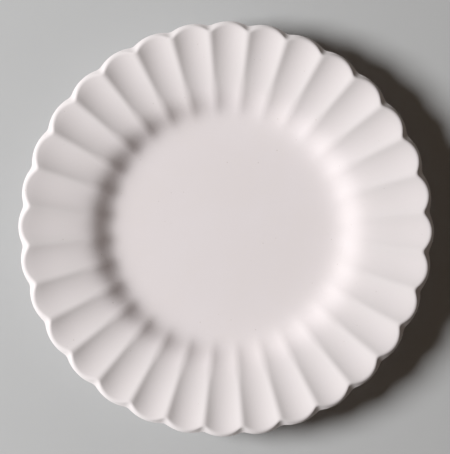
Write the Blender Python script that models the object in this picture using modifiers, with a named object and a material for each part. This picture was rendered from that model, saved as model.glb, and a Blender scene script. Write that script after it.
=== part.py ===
"""Bread and butter plate: a glazed plate whose broad rim is pressed into flutes with a scalloped lip.

Units are metres and +Z is up. The origin is the centre of the circle that the foot ring stands on,
and a flute's valley lies on +X. Radii are measured from the Z axis.
"""

import math

import bpy

MM = 0.001

# The glazed plate as a whole
PLATE_RADIUS = 82.5 * MM
BASE_HEIGHT = 3.4 * MM
FLOOR_THICKNESS = 4.4 * MM
FLOOR_HEIGHT = BASE_HEIGHT + FLOOR_THICKNESS

# The smooth rise from the flat floor over the wall of the well to the rim, which curls up at its end
WALL_RADIUS = 49.92 * MM
WALL_SPREAD = 2.2 * MM
WALL_RISE = 6.69 * MM
RIM_SLOPE = 0.195
CURL_RADIUS = 69.0 * MM
CURL = 5.12
BACK_SHIFT = 1.5 * MM
BACK_SLOPE = 0.254

# The flutes, which start as soft necks on the wall and fan out to the lip
FLUTE_COUNT = 32
NECK_RADIUS = 48.33 * MM
NECK_SPREAD = 1.37 * MM
NECK_DEPTH = 0.793 * MM
FAN_RADIUS = 58.2 * MM
FAN_SLOPE = 0.0544
BACK_SHARE = 0.5

# How far a ridge is rounded, as a share of half a flute, on the necks and out on the rim
NECK_ROUNDING = 0.33
RIDGE_ROUNDING = 0.205
NECK_END = 50.0 * MM
RIDGE_START = 77.5 * MM

# The scalloped lip: its rounded edge, the bowed band outside that and the tuck under to the back
SCALLOP_DEPTH = 1.35 * MM
LIP_ROLL_VALLEY = 1.2 * MM
LIP_ROLL_RIDGE = 2.4 * MM
LIP_DROP = 1.8 * MM
LIP_BOW = 1.3
LIP_TUCK = 1.2 * MM
EDGE_ROUNDING = 1.0 * MM

# The foot ring
FOOT_OUTER = 46.2 * MM
FOOT_INNER = 41.6 * MM
FOOT_TAPER = 0.7 * MM
FOOT_ROUNDING = 0.7 * MM

# The glaze, and the film of slip or fused glaze between two pieces
GLAZE_THICKNESS = 0.3 * MM
FILM = 0.3 * MM

# How finely the round forms are divided, with places on the wall counted in its spread from its middle
STEPS_PER_FLUTE = 6
FOOT_STEPS = 96
FLOOR_END = -5.4
FACE_PLACES = (-2.8, -1.2, 1.2, 2.8, 5.0)
BACK_PLACES = (4.5, 1.4)
EDGE_CREST = 0.25
MERGE_DISTANCE = 0.01 * MM

# Finishes: colour, roughness, metallic
GLAZE_FINISH = ((0.81, 0.74, 0.74, 1.0), 0.6, 0.0)
CLAY_FINISH = ((0.66, 0.58, 0.50, 1.0), 0.85, 0.0)


def clear_scene():
    """Remove every object of the file that the script runs in."""
    for obj in list(bpy.data.objects):
        bpy.data.objects.remove(obj, do_unlink=True)


def make_collection(name):
    """Make the collection that holds the plate's pieces."""
    collection = bpy.data.collections.new(name)
    bpy.context.scene.collection.children.link(collection)
    return collection


def make_material(name, finish):
    """Make a material from a colour, a roughness and a metallic value."""
    colour, roughness, metallic = finish
    material = bpy.data.materials.new(name)
    material.use_nodes = True
    shader = material.node_tree.nodes["Principled BSDF"]
    shader.inputs["Base Color"].default_value = colour
    shader.inputs["Roughness"].default_value = roughness
    shader.inputs["Metallic"].default_value = metallic
    material.diffuse_color = colour
    return material


def mix(start, end, share):
    """Value a share of the way from start to end."""
    return start + (end - start) * share


def sweep(radius, centre, slope):
    """Rise of the wall about its middle radius, and of the rim beyond it, over the flat floor."""
    along = (radius - centre) / WALL_SPREAD
    wall = WALL_RISE / (1.0 + math.exp(-along))
    rim = slope * WALL_SPREAD * math.log1p(math.exp(along))
    return wall + rim + CURL * max(0.0, radius - CURL_RADIUS) ** 2


def flute_depth(radius):
    """Height of the ridges over the valleys of the face at a radius."""
    neck = NECK_DEPTH / (1.0 + math.exp(-(radius - NECK_RADIUS) / NECK_SPREAD))
    return neck + FAN_SLOPE * max(0.0, radius - FAN_RADIUS)


def face_height(radius, share):
    """Height of the face, where share is 0 along a flute's valley and 1 along the ridge between two."""
    return FLOOR_HEIGHT + sweep(radius, WALL_RADIUS, RIM_SLOPE) + share * flute_depth(radius)


def back_height(radius, share=0.0):
    """Height of the back, where share is 0 along a flute's valley and 1 along the ridge between two."""
    rise = sweep(radius, WALL_RADIUS + BACK_SHIFT, BACK_SLOPE)
    return BASE_HEIGHT + rise + share * BACK_SHARE * flute_depth(radius)


def ridge_share(phase, radius):
    """Height across one flute, from 0 in its valley to 1 on the ridge where it meets the next.

    phase runs from -0.5 to 0.5 over the flute. The hollow is a parabola that rounds over at the ridge,
    more softly on the necks than out on the rim.
    """
    outward = (radius - NECK_END) / (RIDGE_START - NECK_END)
    rounding = mix(NECK_ROUNDING, RIDGE_ROUNDING, min(max(outward, 0.0), 1.0))
    across = abs(2.0 * phase)
    knee = 1.0 - rounding
    if across < knee:
        return across * across / knee
    return 1.0 - (1.0 - across) ** 2 / rounding


def mix_point(start, end, share):
    """Point a share of the way from start to end."""
    return mix(start[0], end[0], share), mix(start[1], end[1], share)


def lip_curve(share):
    """Points of the lip from the end of the face over its rounded edge and the tip to the back."""
    tip = PLATE_RADIUS - share * SCALLOP_DEPTH
    tip_height = face_height(PLATE_RADIUS - LIP_ROLL_VALLEY, 0.0) - LIP_DROP
    roll = mix(LIP_ROLL_VALLEY, LIP_ROLL_RIDGE, share)
    edge = (tip - roll, face_height(tip - roll, share))
    before = (edge[0] - EDGE_ROUNDING, face_height(edge[0] - EDGE_ROUNDING, share))
    down = EDGE_ROUNDING / math.hypot(roll, edge[1] - tip_height)
    band = (edge[0] + roll * (1.0 - (1.0 - down) ** LIP_BOW), mix(edge[1], tip_height, down))
    crest = mix_point(mix_point(before, edge, EDGE_CREST), mix_point(edge, band, EDGE_CREST), EDGE_CREST)
    back = (tip - LIP_TUCK, back_height(tip - LIP_TUCK, share))
    tucked = math.sqrt(0.5)
    under = (mix(back[0], tip, tucked), mix(tip_height, back[1], tucked))
    return [before, crest, band, (tip, tip_height), under, back]


def half_section(share):
    """Half-section of the glazed plate from the floor's centre over the lip to the foot ring.

    share is 0 along the valley of a flute and 1 along the ridge between two flutes.
    """
    section = [(0.0, FLOOR_HEIGHT), (WALL_RADIUS + FLOOR_END * WALL_SPREAD, FLOOR_HEIGHT)]
    for radius in [WALL_RADIUS + place * WALL_SPREAD for place in FACE_PLACES] + [CURL_RADIUS]:
        section.append((radius, face_height(radius, share)))
    section += lip_curve(share)
    back = WALL_RADIUS + BACK_SHIFT
    for radius in [back + place * WALL_SPREAD for place in BACK_PLACES] + [FOOT_OUTER + FILM]:
        section.append((radius, back_height(radius, share)))
    return section


def base_section():
    """Half-section of the plate's underside from under the foot ring to the centre of the base."""
    return [(WALL_RADIUS + FLOOR_END * WALL_SPREAD, BASE_HEIGHT), (0.0, BASE_HEIGHT)]


def turned(name, points, steps, collection, closed=False):
    """Turn a half-section of (radius, height) points about Z with a Screw modifier."""
    edges = [(index, index + 1) for index in range(len(points) - 1)]
    if closed:
        edges.append((len(points) - 1, 0))
    mesh = bpy.data.meshes.new(name)
    mesh.from_pydata([(radius, 0.0, height) for radius, height in points], edges, [])
    obj = bpy.data.objects.new(name, mesh)
    collection.objects.link(obj)
    screw = obj.modifiers.new("Turn", "SCREW")
    screw.steps = steps
    screw.render_steps = steps
    screw.use_merge_vertices = True
    screw.merge_threshold = MERGE_DISTANCE
    screw.use_smooth_shade = True
    return obj


def fluted(name, valley, ridge, collection):
    """Turn the valley section, then press the flutes by moving each point towards the ridge section."""
    obj = turned(name, valley, FLUTE_COUNT * STEPS_PER_FLUTE, collection)
    to_ridge = obj.data.attributes.new("to_ridge", "FLOAT_VECTOR", "POINT")
    for entry, low, high in zip(to_ridge.data, valley, ridge):
        entry.vector = (high[0] - low[0], 0.0, high[1] - low[1])
    graph = bpy.context.evaluated_depsgraph_get()
    obj.data = bpy.data.meshes.new_from_object(obj.evaluated_get(graph))
    obj.modifiers.clear()
    for vertex, entry in zip(obj.data.vertices, obj.data.attributes["to_ridge"].data):
        angle = math.atan2(vertex.co.y, vertex.co.x)
        turn = FLUTE_COUNT * angle / math.tau
        radius = math.hypot(vertex.co.x, vertex.co.y)
        share = ridge_share(turn - round(turn), radius)
        radius += share * entry.vector.x
        height = vertex.co.z + share * entry.vector.z
        vertex.co = (radius * math.cos(angle), radius * math.sin(angle), height)
    return obj


def make_plate_body(collection, material):
    """The pressed clay: the glazed plate's form drawn in by the glaze and the film under it."""
    base = base_section()
    obj = fluted("plate_body", half_section(0.0) + base, half_section(1.0) + base, collection)
    shrink = obj.modifiers.new("Under the glaze", "DISPLACE")
    shrink.strength = -(GLAZE_THICKNESS + FILM)
    shrink.mid_level = 0.0
    obj.data.materials.append(material)
    return obj


def make_glaze_coat(collection, material):
    """The glaze over the face, round the lip and down the back to the foot ring."""
    obj = fluted("glaze_coat", half_section(0.0), half_section(1.0), collection)
    coat = obj.modifiers.new("Coat", "SOLIDIFY")
    coat.thickness = GLAZE_THICKNESS
    coat.offset = -1.0
    coat.use_even_offset = True
    obj.data.materials.append(material)
    return obj


def make_foot_ring(collection, material):
    """The bare clay ring that the plate stands on, tapering down to a flat edge with rounded corners."""
    standing_outer = FOOT_OUTER - FOOT_TAPER
    standing_inner = FOOT_INNER + FOOT_TAPER
    points = [
        (FOOT_OUTER, back_height(FOOT_OUTER) + GLAZE_THICKNESS),
        (standing_outer, FOOT_ROUNDING),
        (standing_outer - FOOT_ROUNDING, 0.0),
        (standing_inner + FOOT_ROUNDING, 0.0),
        (standing_inner, FOOT_ROUNDING),
        (FOOT_INNER, back_height(FOOT_INNER) + GLAZE_THICKNESS),
    ]
    obj = turned("foot_ring", points, FOOT_STEPS, collection, closed=True)
    obj.data.materials.append(material)
    return obj


def make_base_glaze(collection, material):
    """The patch of glaze on the base inside the foot ring."""
    edge = FOOT_INNER - FILM
    edge_height = back_height(edge)
    flat = WALL_RADIUS + FLOOR_END * WALL_SPREAD
    points = [
        (0.0, BASE_HEIGHT + GLAZE_THICKNESS),
        (flat, BASE_HEIGHT + GLAZE_THICKNESS),
        (edge, edge_height + GLAZE_THICKNESS),
        (edge, edge_height),
        (flat, BASE_HEIGHT),
        (0.0, BASE_HEIGHT),
    ]
    obj = turned("base_glaze", points, FOOT_STEPS, collection)
    obj.data.materials.append(material)
    return obj


def main():
    """Build the plate."""
    clear_scene()
    collection = make_collection("bread_and_butter_plate")
    glaze = make_material("satin_white_glaze", GLAZE_FINISH)
    clay = make_material("fired_clay", CLAY_FINISH)
    axis = bpy.data.objects.new("plate_axis", None)
    collection.objects.link(axis)
    pieces = (
        make_plate_body(collection, clay),
        make_foot_ring(collection, clay),
        make_glaze_coat(collection, glaze),
        make_base_glaze(collection, glaze),
    )
    for piece in pieces:
        piece.parent = axis


main()
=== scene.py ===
"""Looks of the bread and butter plate: fluted satin glaze over pressed clay with a bare foot.

One flute of the rim is drawn as a half-section, turned through its own pitch and pressed hollow,
and then copied round the plate's axis. All lengths are metres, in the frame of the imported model.
"""

import logging
import math
from collections.abc import Callable
from dataclasses import dataclass
from enum import Enum

import bmesh
import bpy
from mathutils import Euler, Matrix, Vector


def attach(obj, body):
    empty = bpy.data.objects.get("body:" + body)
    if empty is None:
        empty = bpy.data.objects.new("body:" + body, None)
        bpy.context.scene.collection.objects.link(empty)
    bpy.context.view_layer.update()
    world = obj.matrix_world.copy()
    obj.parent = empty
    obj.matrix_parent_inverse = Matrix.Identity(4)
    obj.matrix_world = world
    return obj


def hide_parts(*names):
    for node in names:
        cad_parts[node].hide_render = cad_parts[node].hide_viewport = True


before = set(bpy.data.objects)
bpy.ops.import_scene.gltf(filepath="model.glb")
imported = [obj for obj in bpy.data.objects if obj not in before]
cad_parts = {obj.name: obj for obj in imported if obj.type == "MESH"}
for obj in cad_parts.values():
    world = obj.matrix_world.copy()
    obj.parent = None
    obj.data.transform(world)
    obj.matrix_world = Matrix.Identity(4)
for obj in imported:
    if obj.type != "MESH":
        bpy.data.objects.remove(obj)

LOG = logging.getLogger("bread_and_butter_plate")
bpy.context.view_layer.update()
MM = 0.001
MERGE_DISTANCE = 0.001 * MM
CREASE_ANGLE = math.radians(40.0)
ORIGIN = (0.0, 0.0, 0.0)
PLATE_AXIS = (0.0, 0.0, 1.0)
Point = tuple[float, float]
Span = tuple[float, float]
Colour = tuple[float, float, float, float]

# Sockets of the Mix node: its share and its two values or colours, and where the result comes out.
MIX_VALUES, MIXED_VALUE = (0, 2, 3), 0
MIX_COLOURS, MIXED_COLOUR = (0, 6, 7), 2

# Details of the shared effects, which are the same in every finish.
CLOUD_DETAIL = 3.0
GRAIN_DETAIL = 2.0
CLOUD_CONTRAST: Span = (0.3, 0.7)
SPECK_LEAST = 0.7
SPECK_SPREAD = 0.6
SPECK_EDGE = 0.6
SURFACE_DETAIL = {"Wave": 1.0, "Skin": 2.0}


class Slot(Enum):
    """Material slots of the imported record."""

    GLAZE = "satin_white_glaze"
    CLAY = "fired_clay"


class Line(Enum):
    """Lines of a flute that a half-section can follow, by their share of the flute's depth."""

    VALLEY = 0.0
    RIDGE = 1.0


@dataclass(frozen=True)
class Steps:
    """Steps across a flute, over the wall, over the rim and in each stretch of the lip."""

    across: int
    wall: int
    rim: int
    lip: int


class Fineness(Enum):
    """How finely a fluted piece is divided, when it is seen and when the glaze hides it."""

    SHOWN = Steps(across=24, wall=18, rim=8, lip=5)
    HIDDEN = Steps(across=8, wall=12, rim=4, lip=2)


def blend(start: float, end: float, share: float) -> float:
    """Value a share of the way from start to end."""
    return start + (end - start) * share


def blend_point(start: Point, end: Point, share: float) -> Point:
    """Point a share of the way from start to end."""
    return blend(start[0], end[0], share), blend(start[1], end[1], share)


def spaced(start: float, end: float, steps: int) -> list[float]:
    """Values after start, evenly spaced, that finish on end."""
    return [blend(start, end, step / steps) for step in range(1, steps + 1)]


def start_from_vertex(name: str, point: Point) -> bpy.types.Object:
    """Add a small plane, merge it into one vertex and move that to the start of a half-section.

    Args:
        name: Name of the new object.
        point: Radius and height where the section starts.

    Returns:
        The new object, in edit mode with its vertex selected.
    """
    bpy.ops.object.select_all(action="DESELECT")
    bpy.ops.mesh.primitive_plane_add(size=MM, location=ORIGIN)
    obj = bpy.context.active_object
    obj.name = name
    obj.data.name = name
    bpy.ops.object.mode_set(mode="EDIT")
    bpy.ops.mesh.select_all(action="SELECT")
    bpy.ops.mesh.merge(type="CENTER")
    bpy.ops.transform.translate(value=(point[0], 0.0, point[1]))
    return obj


def draw_section(name: str, points: list[Point]) -> bpy.types.Object:
    """Draw a half-section in the XZ plane by extruding one vertex from point to point.

    Args:
        name: Name of the new object.
        points: Radius and height of each point of the section.

    Returns:
        The section as an object in edit mode.
    """
    obj = start_from_vertex(name, points[0])
    for here, there in zip(points, points[1:]):
        step = (there[0] - here[0], 0.0, there[1] - here[1])
        bpy.ops.mesh.extrude_vertices_move(TRANSFORM_OT_translate={"value": step})
    return obj


def turn(angle: float, steps: int, copies: bool = False) -> None:
    """Spin everything in the edited mesh about the plate's axis.

    Args:
        angle: Angle to turn through.
        steps: Number of steps in that angle.
        copies: Whether to leave a copy at each step, and not the surface swept between them.
    """
    bpy.ops.mesh.select_all(action="SELECT")
    bpy.ops.mesh.spin(steps=steps, dupli=copies, angle=angle, center=ORIGIN, axis=PLATE_AXIS)


def close_surface() -> None:
    """Merge the seams and poles of the edited mesh and turn its faces outwards."""
    bpy.ops.mesh.select_all(action="SELECT")
    bpy.ops.mesh.remove_doubles(threshold=MERGE_DISTANCE)
    bpy.ops.mesh.normals_make_consistent(inside=False)


def select_where(obj: bpy.types.Object, test: Callable[[Vector], bool]) -> None:
    """Select the vertices whose place passes a test, with the edges and faces between them.

    Args:
        obj: The object in edit mode.
        test: Takes a vertex's place and says whether to select it.
    """
    bpy.ops.mesh.select_all(action="DESELECT")
    mesh = bmesh.from_edit_mesh(obj.data)
    for vertex in mesh.verts:
        vertex.select_set(test(vertex.co))
    mesh.select_flush(True)
    bmesh.update_edit_mesh(obj.data)


def select_only(obj: bpy.types.Object) -> None:
    """Select one object alone and make it the active one.

    Args:
        obj: The object, in object mode.
    """
    bpy.ops.object.select_all(action="DESELECT")
    obj.select_set(True)
    bpy.context.view_layer.objects.active = obj


def add_modifier(obj: bpy.types.Object, kind: str, **settings: object) -> None:
    """Add a modifier to an object with some settings and apply it.

    Args:
        obj: The object, in object mode.
        kind: The modifier's type.
        settings: Values of the modifier's properties.
    """
    select_only(obj)
    bpy.ops.object.modifier_add(type=kind)
    modifier = obj.modifiers[-1]
    for key, value in settings.items():
        setattr(modifier, key, value)
    bpy.ops.object.modifier_apply(modifier=modifier.name)


def thicken(obj: bpy.types.Object, thickness: float) -> None:
    """Make a surface a thin closed shell whose outer side stays where the surface was."""
    add_modifier(obj, "SOLIDIFY", thickness=thickness, offset=-1.0, use_even_offset=True)


def settle(piece: bpy.types.Object, slot: Slot, material: bpy.types.Material, *nodes: str) -> None:
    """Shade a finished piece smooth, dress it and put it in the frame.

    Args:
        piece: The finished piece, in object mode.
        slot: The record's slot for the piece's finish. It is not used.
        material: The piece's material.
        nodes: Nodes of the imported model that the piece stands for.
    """
    select_only(piece)
    bpy.ops.object.shade_smooth_by_angle(angle=CREASE_ANGLE)
    piece.data.materials.clear()
    piece.data.materials.append(material)
    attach(piece, "root")
    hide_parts(*nodes)
    triangles = sum(len(face.vertices) - 2 for face in piece.data.polygons)
    LOG.info("%s: %d triangles, stands for %s", piece.name, triangles, ", ".join(nodes))


@dataclass
class FlutedPlate:
    """The plate's glazed form: flat well, sloping wall and a fluted rim with a scalloped lip."""

    # Size, floor, wall and the slope and curl of the rim.
    radius: float = 82.49 * MM
    base_height: float = 3.4 * MM
    floor_thickness: float = 4.4 * MM
    wall_radius: float = 49.92 * MM
    wall_spread: float = 2.2 * MM
    wall_rise: float = 6.69 * MM
    wall_reach: float = 6.5
    rim_reach: float = 5.0
    rim_slope: float = 0.195
    curl_radius: float = 69.0 * MM
    curl: float = 5.12
    back_shift: float = 1.5 * MM
    back_slope: float = 0.254

    # Flutes: soft necks on the wall that fan out to the lip.
    flute_count: int = 32
    neck_radius: float = 48.33 * MM
    neck_spread: float = 1.37 * MM
    neck_depth: float = 0.793 * MM
    fan_radius: float = 58.2 * MM
    fan_slope: float = 0.0544
    ridge_rounding: float = 0.16
    neck_rounding: float = 0.32
    neck_end: float = 56.5 * MM
    ridge_start: float = 62.0 * MM
    back_share: float = 0.5

    # Lip: rounded edge, bowed outer band and the tuck under it.
    scallop_depth: float = 1.35 * MM
    lip_roll_valley: float = 1.2 * MM
    lip_roll_ridge: float = 2.6 * MM
    lip_drop: float = 1.8 * MM
    lip_dip: float = 0.1 * MM
    lip_bow_valley: float = 1.3
    lip_bow_ridge: float = 0.9
    lip_tuck: float = 1.2 * MM
    edge_rounding: float = 1.0 * MM

    # Glaze, the film that holds it to the clay, and where it ends at the foot ring.
    glaze_thickness: float = 0.3 * MM
    film: float = 0.3 * MM
    foot_edge: float = 46.5 * MM

    # Steps over the flat floor and the flat base, and how many steps of the face the back spans.
    floor_steps: int = 2
    base_steps: int = 4
    back_coarseness: int = 2

    @property
    def floor_edge(self) -> float:
        """Radius where the flat floor ends and the wall begins."""
        return self.wall_radius - self.wall_reach * self.wall_spread

    def sweep(self, radius: float, centre: float, slope: float) -> float:
        """Rise of the wall and the rim beyond it, over the flat floor.

        Args:
            radius: Where to measure.
            centre: Radius of the middle of the wall.
            slope: Slope of the rim.

        Returns:
            Height over the floor.
        """
        along = (radius - centre) / self.wall_spread
        step = 1.0 / (1.0 + math.exp(-along))
        rim = slope * self.wall_spread * math.log1p(math.exp(along))
        return self.wall_rise * step + rim + self.curl * max(0.0, radius - self.curl_radius) ** 2

    def flute_depth(self, radius: float) -> float:
        """Height of the ridges over the valleys of the face.

        Args:
            radius: Where to measure.

        Returns:
            Depth of the flutes there.
        """
        along = (radius - self.neck_radius) / self.neck_spread
        neck = self.neck_depth / (1.0 + math.exp(-along))
        return neck + self.fan_slope * max(0.0, radius - self.fan_radius)

    def face_height(self, radius: float, line: Line) -> float:
        """Height of the face at a radius, along a line of the flutes.

        Args:
            radius: Where to measure.
            line: The line of the flutes.

        Returns:
            Height over the table.
        """
        floor = self.base_height + self.floor_thickness
        rise = self.sweep(radius, self.wall_radius, self.rim_slope)
        return floor + rise + line.value * self.flute_depth(radius)

    def back_height(self, radius: float, line: Line) -> float:
        """Height of the back at a radius, along a line of the flutes."""
        rise = self.sweep(radius, self.wall_radius + self.back_shift, self.back_slope)
        return self.base_height + rise + line.value * self.back_share * self.flute_depth(radius)

    def ridge_share(self, across: float, radius: float) -> float:
        """Height across half a flute, from a hollow valley to a ridge that is softer near the wall.

        Args:
            across: Share of the way from the valley to the ridge.
            radius: Where to measure.

        Returns:
            Share of the flute's depth, from 0 in the valley to 1 on the ridge.
        """
        outward = (radius - self.neck_end) / (self.ridge_start - self.neck_end)
        rounding = blend(self.neck_rounding, self.ridge_rounding, min(max(outward, 0.0), 1.0))
        knee = 1.0 - rounding
        if across < knee:
            return across * across / knee
        return 1.0 - (1.0 - across) ** 2 / rounding

    def lip(self, line: Line, steps: int) -> list[Point]:
        """Lip of the half-section: a rounded edge, a bowed outer band and a tuck under to the back.

        Args:
            line: The line of the flutes that the section follows.
            steps: Steps in each of the three stretches.

        Returns:
            Radius and height of each point, from the end of the face to the start of the back.
        """
        tip = self.radius - line.value * self.scallop_depth
        roll = blend(self.lip_roll_valley, self.lip_roll_ridge, line.value)
        edge = (tip - roll, self.face_height(tip - roll, line))
        level = self.face_height(self.radius - self.lip_roll_valley, Line.VALLEY) - self.lip_drop
        level -= line.value * self.lip_dip
        bow = blend(self.lip_bow_valley, self.lip_bow_ridge, line.value)
        before = edge[0] - self.edge_rounding
        start = (before, self.face_height(before, line))
        first = self.edge_rounding / math.hypot(roll, edge[1] - level)

        def band(share: float) -> Point:
            """Point of the outer band, a share of the way down to the tip."""
            return edge[0] + roll * (1.0 - (1.0 - share) ** bow), blend(edge[1], level, share)

        # The rounded edge leaves the face and meets the band along their own slopes.
        points = [start]
        for share in spaced(0.0, 1.0, steps):
            legs = [blend_point(start, edge, share), blend_point(edge, band(first), share)]
            points.append(blend_point(legs[0], legs[1], share))
        points += [band(share) for share in spaced(first, 1.0, steps + 1)]
        tucked = tip - self.lip_tuck
        under = self.back_height(tucked, line)
        for turned in spaced(0.0, 0.5 * math.pi, steps):
            inward, down = math.cos(turned), math.sin(turned)
            points.append((blend(tucked, tip, inward), blend(level, under, down)))
        return points

    def section(self, line: Line, steps: Steps) -> list[Point]:
        """Half-section of the glazed surface from the floor's centre over the lip to the foot ring.

        Args:
            line: The line of the flutes that the section follows.
            steps: How finely the section is divided.

        Returns:
            Radius and height of each point.
        """
        wall_end = self.wall_radius + self.rim_reach * self.wall_spread
        lip = self.lip(line, steps.lip)
        face = [0.0, *spaced(0.0, self.floor_edge, self.floor_steps)]
        face += spaced(self.floor_edge, wall_end, steps.wall)
        face += spaced(wall_end, lip[0][0], steps.rim)[:-1]
        back = spaced(lip[-1][0], wall_end, steps.rim // self.back_coarseness)
        back += spaced(wall_end, self.foot_edge, steps.wall // self.back_coarseness)
        return (
            [(radius, self.face_height(radius, line)) for radius in face]
            + lip
            + [(radius, self.back_height(radius, line)) for radius in back]
        )

    def press_flute(
        self, name: str, valley: list[Point], ridge: list[Point], steps: int
    ) -> bpy.types.Object:
        """Turn a flute's valley and ridge lines through its pitch and blend them into a hollow.

        Args:
            name: Name of the new object.
            valley: Half-section along the valley of the flute.
            ridge: Half-section along the ridge beside it.
            steps: Steps across the flute.

        Returns:
            One flute of the plate, from valley to valley, in object mode.
        """
        pitch = math.tau / self.flute_count
        turned = []
        for part, points in ((name, valley), (name + "_ridge", ridge)):
            turned.append(draw_section(part, points))
            turn(pitch, steps)
            bpy.ops.object.mode_set(mode="OBJECT")
        flute, ridge_shape = turned
        flute.select_set(True)
        ridge_shape.select_set(True)
        bpy.context.view_layer.objects.active = flute
        bpy.ops.object.join_shapes()
        bpy.ops.object.vertex_group_add()
        for vertex in flute.data.vertices:
            # Across goes from 0 in the valleys on both sides to 1 on the ridge between them.
            place = vertex.co
            across = 1.0 - abs(2.0 * abs(math.atan2(place.y, place.x)) / pitch - 1.0)
            weight = self.ridge_share(min(max(across, 0.0), 1.0), place.xy.length)
            flute.vertex_groups[0].add([vertex.index], weight, "REPLACE")
        key = flute.data.shape_keys.key_blocks[-1]
        key.vertex_group = flute.vertex_groups[0].name
        key.value = 1.0
        flute.active_shape_key_index = 1
        bpy.ops.object.shape_key_remove(all=True, apply_mix=True)
        bpy.ops.object.vertex_group_remove(all=True)
        bpy.data.objects.remove(ridge_shape, do_unlink=True)
        return flute

    def build_form(
        self, name: str, fineness: Fineness, base: list[Point] | None = None
    ) -> bpy.types.Object:
        """Press one flute and copy it round the axis into the whole plate.

        Args:
            name: Name of the new object.
            fineness: How finely the plate is divided.
            base: Points that carry the half-section on from the foot ring, if any.

        Returns:
            The plate's surface, in object mode.
        """
        steps = fineness.value
        valley, ridge = (self.section(line, steps) + (base or []) for line in Line)
        plate = self.press_flute(name, valley, ridge, steps.across)
        others = self.flute_count - 1
        bpy.ops.object.mode_set(mode="EDIT")
        turn(math.tau * others / self.flute_count, others, copies=True)
        close_surface()
        bpy.ops.object.mode_set(mode="OBJECT")
        return plate

    def build_coat(self, material: bpy.types.Material) -> bpy.types.Object:
        """Make the glaze over the face, round the lip and down the back to the foot ring.

        Args:
            material: The glaze.

        Returns:
            The coat as a thin closed shell.
        """
        coat = self.build_form("fluted_glaze_coat", Fineness.SHOWN)
        thicken(coat, self.glaze_thickness)
        settle(coat, Slot.GLAZE, material, "glaze_coat")
        return coat

    def build_body(self, material: bpy.types.Material) -> bpy.types.Object:
        """Make the pressed clay body that the glaze covers.

        Args:
            material: The clay.

        Returns:
            The body as a closed solid, drawn in by the glaze and the film under it.
        """
        under = [*spaced(self.foot_edge, self.floor_edge, self.base_steps), 0.0]
        base = [(radius, self.back_height(radius, Line.VALLEY)) for radius in under]
        body = self.build_form("pressed_clay_body", Fineness.HIDDEN, base)
        inset = -(self.glaze_thickness + self.film)
        add_modifier(body, "DISPLACE", strength=inset, mid_level=0.0)
        settle(body, Slot.CLAY, material, "plate_body")
        return body


@dataclass
class FootRing:
    """The bare clay ring under the well that the plate stands on."""

    outer: float = 46.2 * MM
    inner: float = 41.6 * MM
    taper: float = 0.7 * MM
    edge_rounding: float = 0.7 * MM
    edge_segments: int = 4
    top_steps: int = 4
    steps: int = 256

    def build(self, plate: FlutedPlate, material: bpy.types.Material) -> bpy.types.Object:
        """Turn the ring from its section and round its standing edges.

        Args:
            plate: The plate that the ring is luted to.
            material: The clay.

        Returns:
            The ring as a closed solid.
        """
        seat = plate.glaze_thickness
        top = [self.inner, *spaced(self.inner, self.outer, self.top_steps)]
        points = [(radius, plate.back_height(radius, Line.VALLEY) + seat) for radius in top]
        points += [(self.outer - self.taper, 0.0), (self.inner + self.taper, 0.0)]
        ring = draw_section("bare_foot_ring", points)
        inner_side = self.taper + MERGE_DISTANCE
        select_where(ring, lambda place: abs(place.x - self.inner) < inner_side)
        bpy.ops.mesh.edge_face_add()
        turn(math.tau, self.steps)
        close_surface()
        select_where(ring, lambda place: place.z < MERGE_DISTANCE)
        bpy.ops.mesh.select_mode(type="EDGE")
        bpy.ops.mesh.region_to_loop()
        bpy.ops.mesh.bevel(
            offset=self.edge_rounding, segments=self.edge_segments, affect="EDGES"
        )
        bpy.ops.mesh.select_mode(type="VERT")
        bpy.ops.object.mode_set(mode="OBJECT")
        settle(ring, Slot.CLAY, material, "foot_ring")
        return ring


@dataclass
class BaseGlaze:
    """The patch of glaze on the base inside the foot ring."""

    edge: float = 41.3 * MM
    steps: int = 256
    rings: int = 8

    def build(self, plate: FlutedPlate, material: bpy.types.Material) -> bpy.types.Object:
        """Turn the underside's own curve into a thin disc.

        Args:
            plate: The plate whose base the glaze covers.
            material: The glaze.

        Returns:
            The patch as a thin closed disc.
        """
        radii = [self.edge, *spaced(self.edge, 0.0, self.rings)]
        points = [(radius, plate.back_height(radius, Line.VALLEY)) for radius in radii]
        patch = draw_section("base_glaze_patch", points)
        turn(math.tau, self.steps)
        close_surface()
        bpy.ops.object.mode_set(mode="OBJECT")
        if patch.data.polygons[0].normal.z > 0.0:
            bpy.ops.object.mode_set(mode="EDIT")
            bpy.ops.mesh.flip_normals()
            bpy.ops.object.mode_set(mode="OBJECT")
        thicken(patch, plate.glaze_thickness)
        settle(patch, Slot.GLAZE, material, "base_glaze")
        return patch


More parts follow.
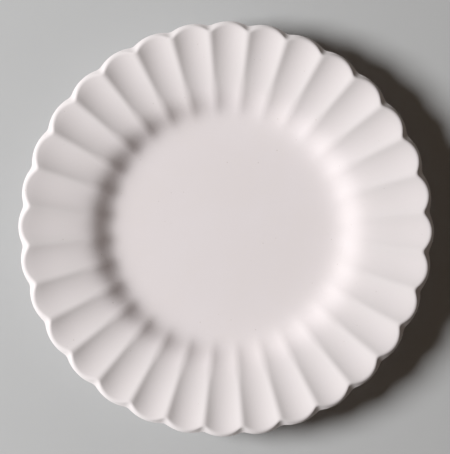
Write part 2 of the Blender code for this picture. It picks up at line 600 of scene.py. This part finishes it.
class Wiring:
    """Adds nodes to one node tree and joins them up."""

    def __init__(self, tree: bpy.types.NodeTree) -> None:
        """Start with a node tree."""
        self.tree = tree

    def add(
        self, kind: str, inputs: dict[str | int, object] | None = None, **settings: object
    ) -> bpy.types.Node:
        """Add a node, set its properties and feed its inputs.

        Args:
            kind: The node's type, without the leading words that all shader nodes share.
            inputs: For each input, the socket to join to it or the value to set on it.
            settings: Values of the node's properties.

        Returns:
            The new node.
        """
        node = self.tree.nodes.new("ShaderNode" + kind)
        for key, value in settings.items():
            setattr(node, key, value)
        for key, value in (inputs or {}).items():
            self.feed(node.inputs[key], value)
        return node

    def feed(self, socket: bpy.types.NodeSocket, value: object) -> None:
        """Join a socket to an input, or set a value on it.

        Args:
            socket: The input.
            value: An output socket or a value.
        """
        if isinstance(value, bpy.types.NodeSocket):
            self.tree.links.new(value, socket)
        else:
            socket.default_value = value

    def math(self, operation: str, *values: object) -> bpy.types.NodeSocket:
        """Work out one sum from one, two or three sockets or numbers."""
        return self.add("Math", dict(enumerate(values)), operation=operation).outputs[0]

    def ramp(
        self, value: object, low: float, high: float, start: float = 0.0, end: float = 1.0
    ) -> bpy.types.NodeSocket:
        """Ease from start to end while a value goes from low to high.

        Args:
            value: The value to follow.
            low: Where the ramp starts.
            high: Where the ramp ends.
            start: Result up to low.
            end: Result from high on.

        Returns:
            The eased result.
        """
        inputs = {"Value": value, "From Min": low, "From Max": high, "To Min": start, "To Max": end}
        return self.add("MapRange", inputs, interpolation_type="SMOOTHSTEP").outputs["Result"]

    def tint(self, share: object, colour: object, other: object) -> bpy.types.NodeSocket:
        """Mix two colours, with a share of the other one."""
        inputs = dict(zip(MIX_COLOURS, (share, colour, other)))
        return self.add("Mix", inputs, data_type="RGBA").outputs[MIXED_COLOUR]

    def noise(self, place: object, scale: object, detail: float) -> bpy.types.NodeSocket:
        """Add noise of some scale and detail over a piece's own coordinates."""
        inputs = {"Vector": place, "Scale": scale, "Detail": detail}
        return self.add("TexNoise", inputs).outputs["Fac"]


class Effect(Enum):
    """Effects that several finishes share, each a node group by this name."""

    TURNED_PLACE = "turned_place"
    CLOUDS = "soft_clouds"
    SPECKS = "scattered_specks"
    SURFACE = "uneven_surface"

    def group(self) -> bpy.types.NodeTree:
        """Make the effect's node group when it is first asked for.

        Returns:
            The group.
        """
        made = bpy.data.node_groups.get(self.value)
        if made is not None:
            return made
        tree = bpy.data.node_groups.new(self.value, "ShaderNodeTree")
        builders = {
            Effect.TURNED_PLACE: fill_turned_place,
            Effect.CLOUDS: fill_clouds,
            Effect.SPECKS: fill_specks,
            Effect.SURFACE: fill_surface,
        }
        builders[self](tree)
        return tree

    def use(self, wiring: Wiring, inputs: dict[str, object] | None = None) -> bpy.types.Node:
        """Put the effect into a material, with a socket or a value for each input."""
        return wiring.add("Group", inputs, node_tree=self.group())


def open_group(
    tree: bpy.types.NodeTree, inputs: tuple[str, ...], outputs: dict[str, str]
) -> tuple[Wiring, bpy.types.Node, bpy.types.Node]:
    """Give a node group its sockets.

    Args:
        tree: The group.
        inputs: Name of each input. All are numbers.
        outputs: Name and kind of each output.

    Returns:
        The group's wiring, its input node and its output node.
    """
    for way, sockets in (("INPUT", dict.fromkeys(inputs, "Float")), ("OUTPUT", outputs)):
        for name, kind in sockets.items():
            tree.interface.new_socket(name, in_out=way, socket_type="NodeSocket" + kind)
    return Wiring(tree), tree.nodes.new("NodeGroupInput"), tree.nodes.new("NodeGroupOutput")


def fill_turned_place(tree: bpy.types.NodeTree) -> None:
    """Fill the group that tells a point's distance from the axis, its height and its flute's line.

    Args:
        tree: The empty group.
    """
    outputs = {"Radius": "Float", "Height": "Float", "Ridge": "Float"}
    wiring, given, result = open_group(tree, ("Flutes",), outputs)
    place = wiring.add("TexCoord").outputs["Object"]
    x, y, height = wiring.add("SeparateXYZ", {0: place}).outputs
    across = wiring.math("MULTIPLY", x, x)
    radius = wiring.math("SQRT", wiring.math("MULTIPLY_ADD", y, y, across))
    phase = wiring.math("MULTIPLY", wiring.math("ARCTAN2", y, x), given.outputs["Flutes"])
    # A wave round the plate, 0 along the valleys and 1 along the ridges.
    ridge = wiring.math("MULTIPLY_ADD", wiring.math("COSINE", phase), -0.5, 0.5)
    for name, value in (("Radius", radius), ("Height", height), ("Ridge", ridge)):
        wiring.feed(result.inputs[name], value)


def fill_clouds(tree: bpy.types.NodeTree) -> None:
    """Fill the group that makes a soft uneven shade, broad clouds with some finer grain in them.

    Args:
        tree: The empty group.
    """
    inputs = ("Cloud Scale", "Grain Scale", "Grain")
    wiring, given, result = open_group(tree, inputs, {"Shade": "Float"})
    place = wiring.add("TexCoord").outputs["Object"]
    clouds = wiring.noise(place, given.outputs["Cloud Scale"], CLOUD_DETAIL)
    grain = wiring.noise(place, given.outputs["Grain Scale"], GRAIN_DETAIL)
    shares = dict(zip(MIX_VALUES, (given.outputs["Grain"], clouds, grain)))
    mixed = wiring.add("Mix", shares).outputs[MIXED_VALUE]
    wiring.feed(result.inputs["Shade"], wiring.ramp(mixed, *CLOUD_CONTRAST))


def fill_specks(tree: bpy.types.NodeTree) -> None:
    """Fill the group that scatters small specks, of which only some are kept.

    Args:
        tree: The empty group.
    """
    wiring, given, result = open_group(tree, ("Scale", "Size", "Kept"), {"Mask": "Float"})
    place = wiring.add("TexCoord").outputs["Object"]
    cells = wiring.add("TexVoronoi", {"Vector": place, "Scale": given.outputs["Scale"]})
    chance = wiring.add("SeparateColor", {0: cells.outputs["Color"]})
    kept = wiring.math("LESS_THAN", chance.outputs[0], given.outputs["Kept"])
    uneven = wiring.math("MULTIPLY_ADD", chance.outputs[1], SPECK_SPREAD, SPECK_LEAST)
    size = wiring.math("MULTIPLY", given.outputs["Size"], uneven)
    near = wiring.math("SUBTRACT", 1.0, wiring.math("DIVIDE", cells.outputs["Distance"], size))
    mask = wiring.math("MULTIPLY", kept, wiring.ramp(near, 0.0, SPECK_EDGE))
    wiring.feed(result.inputs["Mask"], mask)


def fill_surface(tree: bpy.types.NodeTree) -> None:
    """Fill the group that makes a surface slightly uneven, in broad waves and a fine skin.

    Args:
        tree: The empty group.
    """
    inputs = ("Wave Scale", "Wave Height", "Skin Scale", "Skin Height")
    wiring, given, result = open_group(tree, inputs, {"Normal": "Vector"})
    place = wiring.add("TexCoord").outputs["Object"]
    height = 0.0
    for name, detail in SURFACE_DETAIL.items():
        noise = wiring.noise(place, given.outputs[name + " Scale"], detail)
        height = wiring.math("MULTIPLY_ADD", noise, given.outputs[name + " Height"], height)
    bump = wiring.add("Bump", {"Height": height, "Strength": 1.0, "Distance": 1.0})
    wiring.feed(result.inputs["Normal"], bump.outputs["Normal"])


@dataclass(frozen=True)
class Clouds:
    """Soft clouds in a finish: fineness of the clouds and of their grain, and the grain's share."""

    scale: float
    grain_scale: float
    grain: float

    def shade(self, wiring: Wiring) -> bpy.types.NodeSocket:
        """Put the clouds into a material and give their shade, from 0 to 1."""
        inputs = {"Cloud Scale": self.scale, "Grain Scale": self.grain_scale, "Grain": self.grain}
        return Effect.CLOUDS.use(wiring, inputs).outputs["Shade"]


@dataclass(frozen=True)
class Specks:
    """Specks in a finish: how densely they could lie, their size, the share kept and how strong."""

    scale: float
    size: float
    kept: float
    strength: float

    def mask(self, wiring: Wiring) -> bpy.types.NodeSocket:
        """Put the specks into a material and give their mask."""
        specks = Effect.SPECKS.use(
            wiring, {"Scale": self.scale, "Size": self.size, "Kept": self.kept}
        )
        return wiring.math("MULTIPLY", specks.outputs["Mask"], self.strength)


@dataclass(frozen=True)
class Unevenness:
    """Unevenness of a surface: fineness and height of its broad waves and of its fine skin."""

    wave_scale: float
    wave_height: float
    skin_scale: float
    skin_height: float

    def normal(self, wiring: Wiring) -> bpy.types.NodeSocket:
        """Put the unevenness into a material and give the way that the surface faces."""
        inputs = {
            "Wave Scale": self.wave_scale,
            "Wave Height": self.wave_height,
            "Skin Scale": self.skin_scale,
            "Skin Height": self.skin_height,
        }
        return Effect.SURFACE.use(wiring, inputs).outputs["Normal"]


def start_material(name: str) -> tuple[bpy.types.Material, Wiring, bpy.types.Node]:
    """Make a material.

    Args:
        name: The material's name.

    Returns:
        The material, its wiring and its shader.
    """
    material = bpy.data.materials.new(name)
    material.use_nodes = True
    return material, Wiring(material.node_tree), material.node_tree.nodes["Principled BSDF"]


@dataclass(frozen=True)
class GlazeFinish:
    """Matte warm-white glaze, thin and less pink over the ridges and the lip, with faint specks."""

    colour: Colour = (0.814, 0.760, 0.766, 1.0)
    pooled: Colour = (0.800, 0.742, 0.734, 1.0)
    thin: Colour = (0.790, 0.744, 0.743, 1.0)
    bare_edge: Colour = (0.700, 0.610, 0.540, 1.0)
    speck: Colour = (0.420, 0.350, 0.300, 1.0)
    clouds: Clouds = Clouds(scale=55.0, grain_scale=900.0, grain=0.25)
    specks: Specks = Specks(scale=400.0, size=0.12, kept=0.1, strength=0.35)
    skin: Unevenness = Unevenness(
        wave_scale=60.0, wave_height=0.03 * MM, skin_scale=900.0, skin_height=0.003 * MM
    )
    cloud_share: float = 0.5
    roughness: Span = (0.76, 0.84)
    matte: float = 0.48
    specular: float = 0.3

    # Where the glaze thins: beyond the wall, from the flanks to the crests, and towards the lip.
    thinning: float = 14.1 * MM
    crest_start: float = 0.2
    valley_share: float = 0.6
    lip_band: Span = (4.0 * MM, 1.0 * MM)

    # Where it shows the clay beside the foot ring: over the base, outside and inside the ring.
    edge_over: Span = (1.0 * MM, 0.2 * MM)
    edge_outside: Span = (2.0 * MM, 0.2 * MM)
    edge_inside: Span = (7.0 * MM, 5.2 * MM)

    def material(self, plate: FlutedPlate) -> bpy.types.Material:
        """Make the glaze's material.

        Args:
            plate: The plate, for where the glaze pools and thins.

        Returns:
            The material.
        """
        material, wiring, shader = start_material("satin_white_glaze")
        place = Effect.TURNED_PLACE.use(wiring, {"Flutes": plate.flute_count})
        radius, height = place.outputs["Radius"], place.outputs["Height"]
        shade = self.clouds.shade(wiring)
        pooling = wiring.math("MULTIPLY", shade, self.cloud_share)
        colour = wiring.tint(pooling, self.colour, self.pooled)
        on_rim = wiring.ramp(radius, plate.wall_radius, plate.wall_radius + self.thinning)
        ridge = place.outputs["Ridge"]
        crest = wiring.ramp(ridge, self.crest_start, 1.0, self.valley_share, 1.0)
        lip = wiring.ramp(radius, *(plate.radius - inward for inward in self.lip_band))
        thinned = wiring.math("MULTIPLY", on_rim, wiring.math("MAXIMUM", crest, lip))
        colour = wiring.tint(thinned, colour, self.thin)
        low = wiring.ramp(height, *(plate.base_height + over for over in self.edge_over))
        outside = wiring.ramp(radius, *(plate.foot_edge + out for out in self.edge_outside))
        inside = wiring.ramp(radius, *(plate.foot_edge - inward for inward in self.edge_inside))
        by_foot = wiring.math("MULTIPLY", low, wiring.math("MULTIPLY", outside, inside))
        colour = wiring.tint(by_foot, colour, self.bare_edge)
        colour = wiring.tint(self.specks.mask(wiring), colour, self.speck)
        wiring.feed(shader.inputs["Base Color"], colour)
        wiring.feed(shader.inputs["Roughness"], wiring.ramp(shade, 0.0, 1.0, *self.roughness))
        wiring.feed(shader.inputs["Diffuse Roughness"], self.matte)
        wiring.feed(shader.inputs["Specular IOR Level"], self.specular)
        wiring.feed(shader.inputs["Normal"], self.skin.normal(wiring))
        return material


@dataclass(frozen=True)
class ClayFinish:
    """Bare buff clay with dark grains, rubbed smoother and darker on the edge that it stands on."""

    colour: Colour = (0.660, 0.570, 0.480, 1.0)
    shaded: Colour = (0.560, 0.470, 0.385, 1.0)
    grain: Colour = (0.300, 0.230, 0.180, 1.0)
    rubbed: Colour = (0.500, 0.430, 0.365, 1.0)
    clouds: Clouds = Clouds(scale=140.0, grain_scale=2200.0, grain=0.5)
    grains: Specks = Specks(scale=900.0, size=0.22, kept=0.3, strength=0.7)
    skin: Unevenness = Unevenness(
        wave_scale=300.0, wave_height=0.05 * MM, skin_scale=2600.0, skin_height=0.03 * MM
    )
    rubbed_share: float = 0.6
    rubbed_height: Span = (0.5 * MM, 0.05 * MM)
    roughness: Span = (0.92, 0.72)

    def material(self, plate: FlutedPlate) -> bpy.types.Material:
        """Make the clay's material.

        Args:
            plate: The plate that stands on the clay.

        Returns:
            The material.
        """
        material, wiring, shader = start_material("fired_clay")
        place = Effect.TURNED_PLACE.use(wiring, {"Flutes": plate.flute_count})
        colour = wiring.tint(self.clouds.shade(wiring), self.colour, self.shaded)
        rubbed = wiring.ramp(place.outputs["Height"], *self.rubbed_height)
        rubbing = wiring.math("MULTIPLY", rubbed, self.rubbed_share)
        colour = wiring.tint(rubbing, colour, self.rubbed)
        colour = wiring.tint(self.grains.mask(wiring), colour, self.grain)
        wiring.feed(shader.inputs["Base Color"], colour)
        wiring.feed(shader.inputs["Roughness"], wiring.ramp(rubbed, 0.0, 1.0, *self.roughness))
        wiring.feed(shader.inputs["Normal"], self.skin.normal(wiring))
        return material


@dataclass(frozen=True)
class FloorFinish:
    """Plain pale grey floor, hardly shaded, that fades into the backdrop far from the plate."""

    colour: Colour = (0.500, 0.500, 0.500, 1.0)
    shaded: Colour = (0.486, 0.486, 0.486, 1.0)
    clouds: Clouds = Clouds(scale=6.0, grain_scale=60.0, grain=0.2)
    roughness: float = 0.9
    backdrop: Colour = (0.470, 0.470, 0.470, 1.0)
    fade: Span = (0.14, 0.45)

    def material(self) -> bpy.types.Material:
        """Make the floor's material.

        Returns:
            The material, which looks like the backdrop to the camera far from the plate.
        """
        material, wiring, shader = start_material("pale_floor")
        colour = wiring.tint(self.clouds.shade(wiring), self.colour, self.shaded)
        wiring.feed(shader.inputs["Base Color"], colour)
        wiring.feed(shader.inputs["Roughness"], self.roughness)
        far = wiring.ramp(Effect.TURNED_PLACE.use(wiring).outputs["Radius"], *self.fade)
        seen = wiring.add("LightPath").outputs["Is Camera Ray"]
        backdrop = wiring.add("Emission", {"Color": self.backdrop})
        faded = wiring.math("MULTIPLY", far, seen)
        shaders = {0: faded, 1: shader.outputs[0], 2: backdrop.outputs[0]}
        mixed = wiring.add("MixShader", shaders)
        output = material.node_tree.nodes["Material Output"]
        wiring.feed(output.inputs["Surface"], mixed.outputs[0])
        return material


@dataclass
class Studio:
    """Pale floor, soft light from the left and a camera straight above the plate."""

    floor_size: float = 6.0
    floor_finish: FloorFinish = FloorFinish()
    key_distance: float = 1.5
    key_elevation: float = math.radians(42.0)
    key_azimuth: float = math.radians(178.05)
    key_size: float = 0.6
    key_share: float = 0.876
    key_colour: tuple[float, float, float] = (0.985, 1.0, 1.01)
    ambient: float = 0.045
    ambient_colour: Colour = (1.35, 1.0, 0.70, 1.0)
    lens: float = 135.0
    sensor: float = 36.0
    frame_height: float = 454.0
    plate_pixels: float = 208.4
    centre_pixels: Point = (1.1, -1.9)
    roll: float = math.radians(0.88)

    def lay_floor(self) -> None:
        """Lay the floor that the plate stands on."""
        bpy.ops.object.select_all(action="DESELECT")
        bpy.ops.mesh.primitive_plane_add(size=self.floor_size, location=ORIGIN)
        floor = bpy.context.active_object
        floor.name = "studio_floor"
        floor.data.materials.append(self.floor_finish.material())

    def light(self) -> None:
        """Hang the soft key light on the left."""
        turned = Euler((0.0, 0.5 * math.pi - self.key_elevation, self.key_azimuth))
        place = Vector((0.0, 0.0, self.key_distance))
        place.rotate(turned)
        bpy.ops.object.light_add(type="AREA", location=place, rotation=turned)
        key = bpy.context.active_object
        key.name = "key_light"
        key.data.shape = "DISK"
        key.data.size = self.key_size
        key.data.color = self.key_colour
        # At a share of 1, the light would show a white level surface just as white.
        full = (math.pi * self.key_distance) ** 2 / math.sin(self.key_elevation)
        key.data.energy = self.key_share * full

    def set_world(self) -> None:
        """Fill the shadows from all round, and show a plain pale backdrop behind the plate."""
        world = bpy.data.worlds.new("studio_world")
        bpy.context.scene.world = world
        world.use_nodes = True
        wiring = Wiring(world.node_tree)
        fill = world.node_tree.nodes["Background"]
        wiring.feed(fill.inputs["Color"], self.ambient_colour)
        wiring.feed(fill.inputs["Strength"], self.ambient)
        backdrop = wiring.add("Background", {"Color": self.floor_finish.backdrop})
        path = wiring.add("LightPath")
        seen = path.outputs["Is Camera Ray"]
        for ray in ("Is Glossy Ray", "Is Transmission Ray"):
            seen = wiring.math("MAXIMUM", seen, path.outputs[ray])
        mixed = wiring.add("MixShader", {0: seen, 1: fill.outputs[0], 2: backdrop.outputs[0]})
        wiring.feed(world.node_tree.nodes["World Output"].inputs["Surface"], mixed.outputs[0])

    def set_camera(self, plate: FlutedPlate) -> None:
        """Look straight down on the plate, which nearly fills the frame.

        Args:
            plate: The plate to frame.
        """
        pixel = plate.radius / self.plate_pixels
        distance = self.lens * self.frame_height * pixel / self.sensor
        turned = Euler((0.0, 0.0, self.roll))
        right, up = self.centre_pixels
        seen = Vector((-right * pixel, -up * pixel, distance))
        seen.rotate(turned)
        seen.z += plate.face_height(plate.radius, Line.VALLEY)
        bpy.ops.object.camera_add(location=seen, rotation=turned)
        camera = bpy.context.active_object
        camera.name = "overhead_camera"
        camera.data.lens = self.lens
        camera.data.sensor_width = self.sensor
        bpy.context.scene.camera = camera
        bpy.context.scene.view_settings.view_transform = "Standard"


def main() -> None:
    """Build the plate piece by piece and set up the studio."""
    logging.basicConfig(level=logging.INFO, format="%(name)s: %(message)s")
    plate = FlutedPlate()
    glaze = GlazeFinish().material(plate)
    clay = ClayFinish().material(plate)
    plate.build_coat(glaze)
    plate.build_body(clay)
    FootRing().build(plate, clay)
    BaseGlaze().build(plate, glaze)
    studio = Studio()
    studio.lay_floor()
    studio.light()
    studio.set_world()
    studio.set_camera(plate)


if __name__ == "__main__":
    main()
